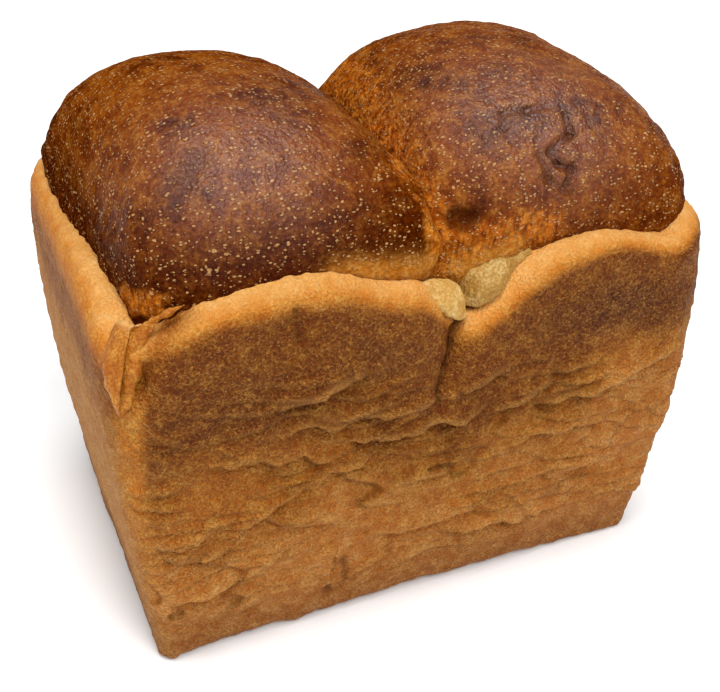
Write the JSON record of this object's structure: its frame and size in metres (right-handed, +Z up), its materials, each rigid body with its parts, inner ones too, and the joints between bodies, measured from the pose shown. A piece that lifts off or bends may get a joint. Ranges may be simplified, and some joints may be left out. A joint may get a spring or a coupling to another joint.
{
  "type": "tin loaf",
  "caption": "White tin loaf baked in an open tin: tapered body, rolled golden rim, two dark risen mounds and a creased front, whole and uncut.",
  "frame": {"origin": "centre of the flat base the loaf rests on", "axes": "+X along the loaf from the left mound to the right one, +Y from the creased front to the back, +Z up through the mounds"},
  "size_m": [0.1976, 0.1313, 0.175],
  "materials": {
    "crust": "matte"
  },
  "bodies": {
    "root": {"loaf": "crust"}
  },
  "joints": []
}
